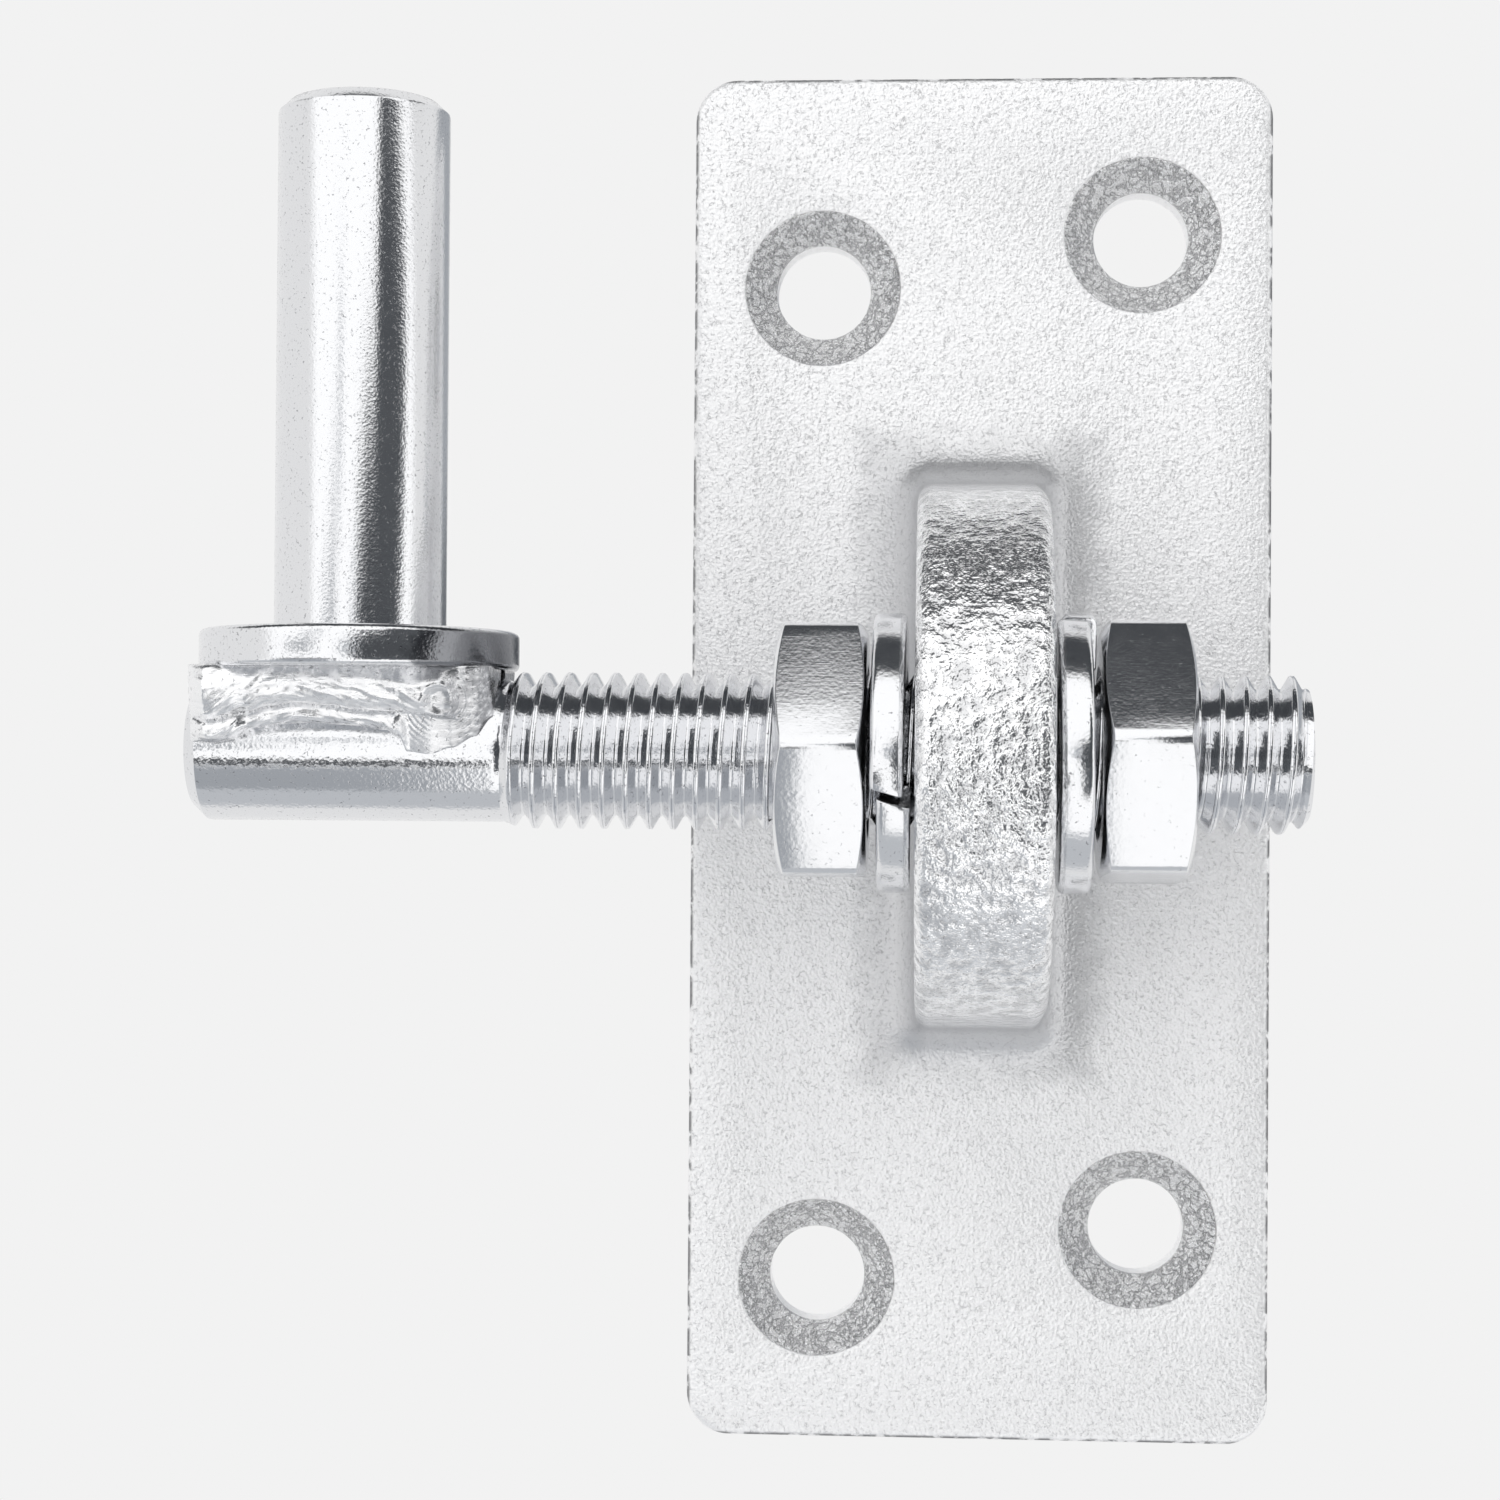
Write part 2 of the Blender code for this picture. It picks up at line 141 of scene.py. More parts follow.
class WasherSizes(PropertyGroup):
    diameter: length("Diameter", "Outside diameter of a spring washer", 0.0211)
    section: length("Section", "Thickness of the spring steel", 0.0025)
    rise: length("Rise", "Offset between the two ends at the split", 0.0005)
    edge: length("Edge round", "Rounding of the section's corners", 0.0005)
    clearance: length("Bore clearance", "Radial clearance round the rod", 0.0003)
    gap: length("Split gap", "Width of the split", 0.0008)
    slope: number("Split slope", "Slant of the split across the section", 0.29)
    place: length("Washer place", "Distance from the plate's middle to a washer's middle", 0.00685)
    near_split: angle("Near split", "Where the pin side washer is split", 199.5)
    far_split: angle("Far split", "Where the free end washer is split", 108)


class WeldSizes(PropertyGroup):
    reach: length("Reach", "How far the weld stands out under the collar", 0.0024)
    bulge: length("Bulge", "Fullness of the weld between collar and shank", 0.0007)
    strand: length("Strand", "Swell of the two strands of the weld", 0.0010)
    streak: length("Streaks", "Height of the streaks that run along the strands", 0.00022)
    curl_x: length("Curl place", "Where the upper strand curls round, along the rod", -0.0399)
    curl_z: length("Curl height", "Height of the curl over the rod's axis", 0.0038)
    curl: length("Curl radius", "Radius of the curl", 0.0008)
    ring: length("Ring spacing", "Distance between the fine rings round the curl", 0.00036)


class FinishColours(PropertyGroup):
    casting: tint("Casting", "Galvanised casting of the plate", (0.98, 0.982, 0.99))
    zinc: tint("Bright zinc", "Zinc plating of the hook and the nuts", (0.81, 0.815, 0.83))
    spring: tint("Spring steel", "Plating of the spring washers", (0.81, 0.815, 0.83))
    weld: tint("Weld", "Plated weld metal", (0.94, 0.942, 0.95))
    fleck: tint("Fleck", "Dark flecks in the plating", (0.16, 0.165, 0.18))
    # Grey for random worn patches on the ear's nose, and for painted shading on the fillet, round the ear's
    # foot and in the countersinks.
    wear_and_painted_shade: tint("Shade", "Grey of the worn ear, its foot and the countersinks", (0.30, 0.305, 0.32))
    mark: tint("Mark", "Dark lines on the plate's edge and in the countersinks", (0.12, 0.122, 0.13))
    # Colour of the painted dark reflection on the collar's right side.
    collar_painted_reflection: tint("Burnt collar", "Collar's rim above the weld's end", (0.22, 0.225, 0.24))
    # Grey that the weld turns to in streaks towards its right end.
    weld_dark_end: tint("Burnt weld", "Weld's end near the thread", (0.28, 0.285, 0.30))


class StudioSettings(PropertyGroup):
    backdrop: tint("Backdrop", "Colour of the backdrop and the floor", (0.888, 0.888, 0.888))
    floor: length("Floor height", "Height of the floor under the object", -0.35)
    lens: FloatProperty(name="Lens", description="Focal length on a 36 mm wide sensor", default=71.1,
                        unit="CAMERA")
    fill: number("Fill light", "Brightness of the light on matte surfaces", 1.08)
    floor_tone: number("Floor tone", "Floor's colour as a share of the backdrop's, to look alike", 0.905)


CAMERA_PLACE = (-0.0034, -0.249, -0.0030)
CAMERA_TURN = (90.80, -0.42, 3.62)

# Bands of the studio that polished metal mirrors: tilt is the height over the horizon seen along the rod,
# from the front over the top to the back, and side the turn towards the right. All in degrees, with the
# softness of the edge and the brightness.
STUDIO_BANDS = (
    ("Front panels", (-70, 65), (-56, 80), 9, 1.22),
    ("Dark ceiling", (67, 112), (-60, 60), 9, 0.06),
    ("Low wall", (-108, -70), (-60, 60), 8, 0.60),
    ("Left low wall", (-72, -30), (-48, -9), 5, 0.42),
    ("Left rail", (-28, -18), (-48, -7), 3, 0.08),
    ("Right flag low", (-36, -12), (8, 62), 4, 0.10),
    ("Right flag", (-13, 10), (5, 62), 4, 0.07),
    ("Right flag slope", (8, 15), (14, 64), 4, 0.08),
    ("Right flag top", (13, 42), (27, 67), 5, 0.08),
    ("Left stand", (-2, 5), (-42, -23), 4, 0.36),
    ("Left stand top", (4, 11), (-29, -25), 3, 0.40),
    ("Left stand tip", (10, 18), (-21, -16), 3, 0.45),
    ("Horizon", (-4, 4), (-4, 6), 3, 0.50),
    ("Back right", (150, 186), (4, 75), 8, 0.42),
    ("Back right low", (174, 190), (4, 95), 4, 0.16),
)

# One pitch of the thread: places along it, and heights as a share of its depth. None is the crest's seam.
THREAD_PROFILE = ((-0.5, 0), (-0.455, 0.02), (-0.41, 0.09), (-0.15, 0.86), (-0.115, 0.95), (-0.08, 0.99),
                  (-0.045, 1), (-0.018, 1), (0, None), (0.018, 1), (0.045, 1), (0.08, 0.99), (0.115, 0.95),
                  (0.15, 0.86), (0.41, 0.09), (0.455, 0.02), (0.5, 0))

# Lines of the weld along the rod, as places and heights over the rod's axis in millimetres: where the weld
# ends on the shank, and the groove between its two strands.
WELD_TOE = ((-57.5, 0.4), (-56.2, 0.6), (-54.5, 1.6), (-52, 1.95), (-49, 2.1), (-46, 1.8), (-44.4, 1.5),
            (-43.4, 0.9), (-42.8, -0.3), (-41.2, -0.5), (-39.5, 0), (-37.8, 0.9), (-36.5, 2.4))
WELD_GROOVE = ((-57.5, 2.3), (-54.8, 2.95), (-52.8, 3.5), (-51.1, 3.8), (-48.4, 3.6), (-46.7, 3.3),
               (-43.2, 3.0), (-41.4, 2.8), (-40.2, 2.6), (-38, 2.5))

# Where the lower strand ends and where the smooth funnel begins, along the rod in metres.
STRAND_END = (-0.0436, -0.0426)
FUNNEL_START = (-0.0400, -0.0386)


def along(line, x):
    """The height of a line at a place along the rod, eased from point to point."""
    place = x * 1000
    for (start, low), (end, high) in zip(line, line[1:]):
        if place <= end:
            share = min(max((place - start) / (end - start), 0), 1)
            return (low + (high - low) * share * share * (3 - 2 * share)) / 1000
    return line[-1][1] / 1000


def ease(value, low, high):
    share = min(max((value - low) / (high - low), 0), 1)
    return share * share * (3 - 2 * share)


def piece(bm, name, material, node, smooth=30):
    """Finish a bmesh as a piece that stands for a node of the model and moves with that node's body."""
    bmesh.ops.remove_doubles(bm, verts=bm.verts, dist=1e-6)
    bmesh.ops.recalc_face_normals(bm, faces=bm.faces)
    mesh = bpy.data.meshes.new(name)
    bm.to_mesh(mesh)
    bm.free()
    mesh.shade_smooth()
    mesh.set_sharp_from_angle(angle=math.radians(smooth))
    mesh.materials.append(material)
    made = bpy.data.objects.new(name, mesh)
    bpy.context.scene.collection.objects.link(made)
    record = frame["record"]
    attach(made, next(body for body, nodes in record["behaviour"]["bodies"].items() if node in nodes))
    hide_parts(node)


def cut(bm, other, operation):
    """Run an exact Boolean between two bmeshes and return the result as a bmesh."""
    shapes = []
    for part in (bm, other):
        bmesh.ops.recalc_face_normals(part, faces=part.faces)
        mesh = bpy.data.meshes.new("shape")
        part.to_mesh(mesh)
        part.free()
        shape = bpy.data.objects.new("shape", mesh)
        bpy.context.scene.collection.objects.link(shape)
        shapes.append(shape)
    step = shapes[0].modifiers.new("cut", "BOOLEAN")
    step.operation = operation
    step.solver = "EXACT"
    step.object = shapes[1]
    bpy.context.view_layer.update()
    result = bmesh.new()
    result.from_object(shapes[0], bpy.context.evaluated_depsgraph_get())
    for shape in shapes:
        mesh = shape.data
        bpy.data.objects.remove(shape)
        bpy.data.meshes.remove(mesh)
    return result


def only(items, kind):
    return [item for item in items if isinstance(item, kind)]


def chain(bm, points):
    """Add a run of edges through points."""
    verts = [bm.verts.new(point) for point in points]
    for pair in zip(verts, verts[1:]):
        bm.edges.new(pair)


def lathe(points, centre, axis, segments):
    """A solid turned from a profile whose ends lie on the axis, or from a closed profile."""
    bm = bmesh.new()
    chain(bm, points)
    bmesh.ops.remove_doubles(bm, verts=bm.verts, dist=1e-7)
    bmesh.ops.spin(bm, geom=bm.verts[:] + bm.edges[:], cent=centre, axis=axis, angle=2 * math.pi,
                   steps=segments, use_merge=True)
    bmesh.ops.remove_doubles(bm, verts=bm.verts, dist=1e-7)
    bmesh.ops.recalc_face_normals(bm, faces=bm.faces)
    return bm


def round_edges(bm, edges, offset, segments, clamp=True):
    bmesh.ops.bevel(bm, geom=edges, offset=offset, offset_type="OFFSET", segments=segments, profile=0.5,
                    affect="EDGES", material=-1, clamp_overlap=clamp)


def round_corners(bm, corners, offset, segments):
    bmesh.ops.bevel(bm, geom=corners, offset=offset, offset_type="OFFSET", segments=segments, profile=0.5,
                    affect="VERTICES", material=-1)


def sharp_edges(bm, degrees, test):
    limit = math.radians(degrees)
    return [edge for edge in bm.edges
            if len(edge.link_faces) == 2 and edge.calc_face_angle(0) > limit and test(edge)]


def thread_shell(x_start, x_end, crest, root, seam, facets):
    """An open threaded tube round the rod's axis between two planes, with its two end loops of edges."""
    hook = bpy.context.scene.hook_sizes
    reference = rod_high.x - hook.end_turn * PITCH
    height = crest - root
    turns = math.ceil((x_end - x_start) / PITCH) + 3
    edge_of_run = (x_end if HAND < 0 else x_start) - reference
    first = math.ceil(edge_of_run / PITCH) + 1 if HAND < 0 else math.floor(edge_of_run / PITCH) - 1
    points = []
    for place, share in THREAD_PROFILE:
        radius = crest - seam if share is None else root + height * share
        points.append((reference + (first + place) * PITCH, swivel.y + radius, swivel.z))
    bm = bmesh.new()
    chain(bm, points)
    bmesh.ops.spin(bm, geom=bm.verts[:] + bm.edges[:], cent=swivel, axis=ROD_AXIS,
                   dvec=(HAND * PITCH / facets, 0, 0), angle=2 * math.pi, steps=facets)
    one_turn = bm.verts[:] + bm.edges[:] + bm.faces[:]
    for turn in range(1, turns):
        copied = bmesh.ops.duplicate(bm, geom=one_turn)["geom"]
        bmesh.ops.translate(bm, verts=only(copied, BMVert), vec=(HAND * PITCH * turn, 0, 0))
    bmesh.ops.remove_doubles(bm, verts=bm.verts, dist=2e-6)
    loops = []
    for x, direction in ((x_start, 1), (x_end, -1)):
        found = bmesh.ops.bisect_plane(bm, geom=bm.verts[:] + bm.edges[:] + bm.faces[:], dist=1e-7,
                                       plane_co=(x, 0, 0), plane_no=(direction, 0, 0), clear_inner=True)
        loops.append(only(found["geom_cut"], BMEdge))
    return bm, loops


def set_radius(vert, radius):
    arm = Vector((0, vert.co.y - swivel.y, vert.co.z - swivel.z))
    arm *= radius / arm.length
    vert.co = Vector((vert.co.x, swivel.y + arm.y, swivel.z + arm.z))


def radius_of(point):
    return math.hypot(point.y - swivel.y, point.z - swivel.z)


def close_loop(bm, edges):
    bmesh.ops.contextual_create(bm, geom=edges)


def screw_places(sizes):
    """Where the four screw holes are, in x and z."""
    return [(side * sizes.columns / 2, row * sizes.rows / 2 + side * sizes.stagger / 2)
            for side in (-1, 1) for row in (-1, 1)]


class MESH_OT_hook_plate_casting(Operator):
    """Add the plate with its ear, fillet, rod bore and four countersunk screw holes"""
    bl_idname = "mesh.hook_plate_casting"
    bl_label = "Plate"

    def execute(self, context):
        sizes = context.scene.plate_sizes
        front = -sizes.thickness
        size = plate_high - plate_low
        middle = (plate_low + plate_high) / 2
        bm = bmesh.new()
        blank = Matrix.Translation((middle.x, front / 2, middle.z))
        blank @= Matrix.Diagonal((size.x, sizes.thickness, size.z, 1))
        bmesh.ops.create_cube(bm, size=1, matrix=blank)
        corners = [edge for edge in bm.edges if abs(edge.verts[0].co.y - edge.verts[1].co.y) > 0.001]
        round_edges(bm, corners, sizes.corner, 12)
        rim = [edge for edge in bm.edges if all(abs(vert.co.y - front) < 1e-6 for vert in edge.verts)]
        round_edges(bm, rim, sizes.edge, 5)

        bm = cut(bm, self.ear(sizes, front), "UNION")
        half = sizes.ear / 2 + 1e-5
        foot = [edge for edge in bm.edges
                if all(abs(vert.co.y - front) < 1e-6 and abs(vert.co.x) < half for vert in edge.verts)
                and len(edge.link_faces) == 2 and edge.calc_face_angle(0) > 0.5]
        round_edges(bm, foot, sizes.fillet, 9, clamp=False)

        bore = sizes.bore / 2
        wide = bore + 0.0005
        face = sizes.ear / 2
        profile = [(-face - 0.001, 0), (-face - 0.001, wide + 0.001), (-face + 0.0005, bore),
                   (face - 0.0005, bore), (face + 0.001, wide + 0.001), (face + 0.001, 0)]
        points = [(x, swivel.y + radius, swivel.z) for x, radius in profile]
        bm = cut(bm, lathe(points, swivel, ROD_AXIS, 96), "DIFFERENCE")
        for x, z in screw_places(sizes):
            bm = cut(bm, self.screw_hole(sizes, front, x, z), "DIFFERENCE")
        mouths = sharp_edges(bm, 25, lambda edge: all(
            abs(vert.co.y - front) < 1e-6 or abs(vert.co.y - front - sizes.sink_depth) < 1e-6
            for vert in edge.verts))
        round_edges(bm, mouths, 0.0002, 3)
        piece(bm, "galvanised_plate", casting_material(), "mounting_plate")
        return {"FINISHED"}

    def ear(self, sizes, front):
        """The ear as a slab: a half turn of the nose between two drafted sides, its rims rounded."""
        centre = Vector((-sizes.ear / 2, swivel.y - sizes.tip + sizes.nose, 0))
        draft = sizes.draft
        bm = bmesh.new()
        reach = centre.y - sizes.nose * math.sin(draft)
        start = bm.verts.new((centre.x, reach, sizes.nose * math.cos(draft)))
        swept = bmesh.ops.spin(bm, geom=[start], cent=centre, axis=ROD_AXIS, angle=math.pi - 2 * draft,
                               steps=64)
        last = only(swept["geom_last"], BMVert)[0]
        root = front / 2
        flare = (root - reach) * math.tan(draft)
        for vert, sign in ((start, 1), (last, -1)):
            end = bm.verts.new((centre.x, root, sign * (abs(vert.co.z) + flare)))
            bm.edges.new((vert, end))
        ends = [vert for vert in bm.verts if len(vert.link_edges) == 1]
        bm.edges.new(ends)
        face = bmesh.ops.contextual_create(bm, geom=bm.edges[:])["faces"]
        pushed = bmesh.ops.extrude_face_region(bm, geom=face)["geom"]
        bmesh.ops.translate(bm, verts=only(pushed, BMVert), vec=(sizes.ear, 0, 0))
        bmesh.ops.recalc_face_normals(bm, faces=bm.faces)
        rims = [edge for edge in bm.edges
                if abs(edge.verts[0].co.x - edge.verts[1].co.x) < 1e-6
                and not all(abs(vert.co.y - root) < 1e-6 for vert in edge.verts)]
        round_edges(bm, rims, sizes.rim, 7)
        return bm

    def screw_hole(self, sizes, front, x, z):
        bore, head = sizes.hole / 2, sizes.sink / 2
        flare = (head - bore) / sizes.sink_depth * 0.001
        profile = [(0.001, 0), (0.001, bore), (front + sizes.sink_depth, bore), (front - 0.001, head + flare),
                   (front - 0.001, 0)]
        return lathe([(x + radius, y, z) for y, radius in profile], (x, 0, z), (0, 1, 0), 96)


class MESH_OT_hook_plate_rod(Operator):
    """Add the rod: plain shank, rolled thread with its run-out, chamfered ends"""
    bl_idname = "mesh.hook_plate_rod"
    bl_label = "Threaded rod"

    def execute(self, context):
        hook = context.scene.hook_sizes
        shank, crest, root = hook.shank / 2, hook.thread / 2, hook.root / 2
        start, end = rod_low.x + hook.shank_length, rod_high.x
        bm, (shank_loop, end_loop) = thread_shell(start, end, crest, root, hook.seam, hook.facets)
        for vert in bm.verts:
            fade = min((vert.co.x - start) / hook.runout, 1)
            fade = fade * fade * (3 - 2 * fade)
            radius = shank + (radius_of(vert.co) - shank) * fade
            set_radius(vert, min(radius, root + end - vert.co.x))
        close_loop(bm, end_loop)
        edges = shank_loop
        for x, radius in ((start - 0.0004, shank), (rod_low.x + hook.chamfer + 0.0002, shank),
                          (rod_low.x + hook.chamfer, shank - 0.00004), (rod_low.x, shank - hook.chamfer)):
            edges = only(bmesh.ops.extrude_edge_only(bm, edges=edges)["geom"], BMEdge)
            for vert in {vert for edge in edges for vert in edge.verts}:
                vert.co.x = x
                set_radius(vert, radius)
        close_loop(bm, edges)
        piece(bm, "hook_rod", plating("rod"), "threaded_rod")
        return {"FINISHED"}


class MESH_OT_hook_plate_pin(Operator):
    """Add the upright pin and the collar on its foot"""
    bl_idname = "mesh.hook_plate_pin"
    bl_label = "Pin and collar"

    def execute(self, context):
        hook = context.scene.hook_sizes
        place = (pin_low + pin_high) / 2
        radius = (pin_high.x - pin_low.x) / 2
        chamfer = hook.pin_chamfer
        profile = [(pin_low.z, 0), (pin_low.z, radius), (pin_high.z - chamfer - 0.0002, radius),
                   (pin_high.z - chamfer, radius - 0.00005), (pin_high.z - 0.0001, radius - chamfer),
                   (pin_high.z, radius - chamfer - 0.00025), (pin_high.z, 0)]
        points = [(place.x + r, place.y, z) for z, r in profile]
        bm = lathe(points, place, (0, 0, 1), 128)
        piece(bm, "hook_post", plating("pin"), "hook_pin")

        bm = bmesh.new()
        outer = (collar_high.x - collar_low.x) / 2
        section = [(radius - 0.0001, collar_low.z), (outer, collar_low.z), (outer, collar_high.z),
                   (radius - 0.0001, collar_high.z)]
        verts = [bm.verts.new((place.x + r, place.y, z)) for r, z in section]
        bm.faces.new(verts)
        round_corners(bm, verts[1:3], hook.collar_edge, 5)
        bmesh.ops.delete(bm, geom=bm.faces[:], context="FACES_ONLY")
        bmesh.ops.spin(bm, geom=bm.verts[:] + bm.edges[:], cent=place, axis=(0, 0, 1), angle=2 * math.pi,
                       steps=144, use_merge=True)
        piece(bm, "hook_collar", plating("collar"), "pin_collar")
        return {"FINISHED"}


class MESH_OT_hook_plate_nuts(Operator):
    """Add the two thin hexagon nuts, chamfered and threaded"""
    bl_idname = "mesh.hook_plate_nuts"
    bl_label = "Nuts"

    def execute(self, context):
        sizes = context.scene.nut_sizes
        self.nut(context, "near_hex_nut", "inner_nut", -1, sizes.near_turn)
        self.nut(context, "far_hex_nut", "outer_nut", 1, sizes.far_turn)
        return {"FINISHED"}

    def nut(self, context, name, node, side, turned):
        sizes, hook = context.scene.nut_sizes, context.scene.hook_sizes
        corner = sizes.flats / 2 / math.cos(math.radians(30))
        outside = corner + 0.001
        half = sizes.thickness / 2
        middle = swivel + Vector((side * (sizes.near + half), 0, 0))
        bar = bmesh.new()
        turn = Matrix.Rotation(-turned, 4, "X") @ Matrix.Rotation(math.radians(90), 4, "Y")
        bmesh.ops.create_cone(bar, cap_ends=True, cap_tris=False, segments=6, radius1=corner, radius2=corner,
                              depth=sizes.thickness + 0.004, matrix=Matrix.Translation(middle) @ turn)
        long_edges = [edge for edge in bar.edges if edge.calc_length() < sizes.thickness + 0.005
                      and abs(edge.verts[0].co.x - edge.verts[1].co.x) > 0.001]
        round_edges(bar, long_edges, sizes.corner * math.tan(math.radians(30)), 4)
        bore = hook.root / 2 + sizes.clearance + 0.00005
        mouth = hook.thread / 2 + sizes.clearance + 0.0005
        face = sizes.face / 2
        slope = (outside - face) * math.tan(sizes.chamfer)
        inset = mouth - bore
        ring = [(-half, mouth), (-half, face), (-half + slope, outside), (half - slope, outside),
                (half, face), (half, mouth), (half - inset, bore), (-half + inset, bore), (-half, mouth)]
        points = [(middle.x + x, swivel.y + radius, swivel.z) for x, radius in ring]
        bm = cut(lathe(points, swivel, ROD_AXIS, 144), bar, "INTERSECT")
        inner = face - 0.0003
        edges = sharp_edges(bm, 17, lambda edge: min(radius_of(vert.co) for vert in edge.verts) > inner)
        round_edges(bm, edges, sizes.edge, 3)

        reach = half + 0.001
        plug, loops = thread_shell(middle.x - reach, middle.x + reach, hook.thread / 2 + sizes.clearance,
                                   hook.root / 2 + sizes.clearance, 0, 32)
        for loop in loops:
            close_loop(plug, loop)
        bm = cut(bm, plug, "DIFFERENCE")
        piece(bm, name, nut_material(name, side), node)


class MESH_OT_hook_plate_washers(Operator):
    """Add the two split spring washers"""
    bl_idname = "mesh.hook_plate_washers"
    bl_label = "Spring washers"

    def execute(self, context):
        sizes = context.scene.washer_sizes
        self.washer(context, "near_lock_washer", "inner_spring_washer", -1, sizes.near_split)
        self.washer(context, "far_lock_washer", "outer_spring_washer", 1, sizes.far_split)
        return {"FINISHED"}

    def washer(self, context, name, node, side, split):
        sizes, hook = context.scene.washer_sizes, context.scene.hook_sizes
        inner, outer = hook.thread / 2 + sizes.clearance, sizes.diameter / 2
        half = sizes.section / 2
        steps = 120
        gap = sizes.gap / outer
        centre = side * sizes.place
        bm = bmesh.new()
        corners = [(-half, inner), (-half, outer), (half, outer), (half, inner)]
        verts = [bm.verts.new((x, radius, 0)) for x, radius in corners]
        bm.faces.new(verts)
        round_corners(bm, verts, sizes.edge, 4)
        for vert in bm.verts:
            turn = split + gap / 2 + sizes.slope * vert.co.x / outer
            radius = vert.co.y
            vert.co = (centre + vert.co.x - side * sizes.rise / 2, swivel.y + radius * math.cos(turn),
                       swivel.z + radius * math.sin(turn))
        section = bm.verts[:] + bm.edges[:] + bm.faces[:]
        bmesh.ops.spin(bm, geom=section, cent=swivel, axis=ROD_AXIS, dvec=(side * sizes.rise / steps, 0, 0),
                       angle=2 * math.pi - gap, steps=steps)
        ends = sharp_edges(bm, 60, lambda edge: True)
        round_edges(bm, ends, 0.00012, 2)
        piece(bm, name, plating("washer"), node)


class MESH_OT_hook_plate_welds(Operator):
    """Add the rippled weld between collar and shank, in front and behind"""
    bl_idname = "mesh.hook_plate_welds"
    bl_label = "Welds"

    def execute(self, context):
        self.bead(context, "front_fillet_weld", "front_weld_bead", -1)
        self.bead(context, "rear_fillet_weld", "rear_weld_bead", 1)
        return {"FINISHED"}

    def bead(self, context, name, node, side):
        """A tube along the shank: its back half lies on the shank, its front half is raised into strands."""
        weld, hook = context.scene.weld_sizes, context.scene.hook_sizes
        low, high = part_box(node)
        shank = hook.shank / 2
        top = collar_low.z - swivel.z + 0.00015
        round_count, steps = 96, 240
        bm = bmesh.new()
        bmesh.ops.create_circle(bm, segments=round_count, radius=1, cap_ends=False,
                                matrix=Matrix.Rotation(math.radians(90), 4, "Y"))
        bmesh.ops.spin(bm, geom=bm.verts[:] + bm.edges[:], cent=(0, 0, 0), axis=ROD_AXIS,
                       dvec=(1 / steps, 0, 0), angle=0, steps=steps)
        ends = [[edge for edge in bm.edges if all(abs(vert.co.x - x) < 0.1 / steps for vert in edge.verts)]
                for x in (0, 1)]
        for loop in ends:
            close_loop(bm, loop)
        for vert in bm.verts:
            share = min(max(vert.co.x, 0), 1)
            around = math.atan2(vert.co.z, -vert.co.y) / math.pi
            around = math.copysign(abs(around) ** 1.35, around)
            x = low.x + (high.x - low.x) * share
            y, z = self.section(weld, shank, top, x, share, around)
            vert.co = Vector((x, swivel.y - side * y, swivel.z + z))
        piece(bm, name, weld_material(), node, smooth=60)

    def section(self, weld, shank, top, x, share, around):
        """Depth and height of a point: around is 1 at the back, 0 in front and -1 at the back from below."""
        end = min(share, 1 - share)
        fullness = math.sqrt(min(max(end, 0) / 0.07, 1))
        toe_z = along(WELD_TOE, x)
        toe = math.asin(toe_z / shank)
        toe_y = -shank * math.cos(toe)
        lip = -(shank + weld.reach * (0.35 + 0.65 * fullness))
        start = math.asin(min(top / shank, 0.98))
        if -0.5 <= around <= 0.5:
            mix = 0.5 - around
            y = lip + (toe_y - lip) * mix
            z = top + (toe_z - top) * mix
            run = Vector((toe_y - lip, toe_z - top)).normalized()
            out = Vector((-abs(run.y), abs(run.x) * (-1 if run.x > 0 else 1)))
            swell = self.relief(weld, top, toe_z, x, z, mix) * fullness
            return y + out.x * swell, z + out.y * swell
        turn = (abs(around) - 0.5) * 2
        if around > 0:
            inner_y = -(shank - 0.0002) * math.cos(start)
            return lip + (inner_y - lip) * turn, top
        turned = toe + (start - toe) * turn
        return -(shank - 0.0003) * math.cos(turned), (shank - 0.0003) * math.sin(turned)

    def relief(self, weld, top, toe_z, x, z, mix):
        """How far the weld stands out from the straight slope: two strands, a curl and a smooth funnel."""
        groove = along(WELD_GROOVE, x)
        split = min(max((top - groove) / (top - toe_z), 0.2), 0.8)
        side = mix / split if mix < split else (mix - split) / (1 - split)
        arch = math.sin(math.pi * mix)
        strand = abs(math.sin(math.pi * side)) ** 0.55
        flow = mix * 9 + 3 * groove * 1000
        streak = noise.noise((x * 320, flow, 0)) + 0.5 * noise.noise((x * 800, flow * 2.4, 5))
        curl = math.hypot(x - weld.curl_x, z - weld.curl_z)
        smooth_part = max(ease(x, *STRAND_END) * ease(z, groove + 0.0002, groove - 0.0003),
                          ease(curl, 0.0016, 0.0006) * 0.6, ease(x, *FUNNEL_START))
        rough = weld.bulge * arch + weld.strand * strand + weld.streak * streak * strand
        rings = math.cos(2 * math.pi * curl / weld.ring) * ease(curl, 0.0006, 0.0014)
        lump = math.exp(-((curl - weld.curl) / 0.00032) ** 2)
        wobble = 0.6 + 0.6 * noise.noise((x * 400, z * 400, 9))
        turned = math.atan2(z - weld.curl_z, x - weld.curl_x)
        lump *= 0.5 - 0.5 * math.cos(turned + 2.2)
        funnel = (0.35 * weld.bulge + 0.00004 * rings * wobble + 0.00018 * lump) * arch ** 0.5
        return rough * (1 - smooth_part) + funnel * smooth_part


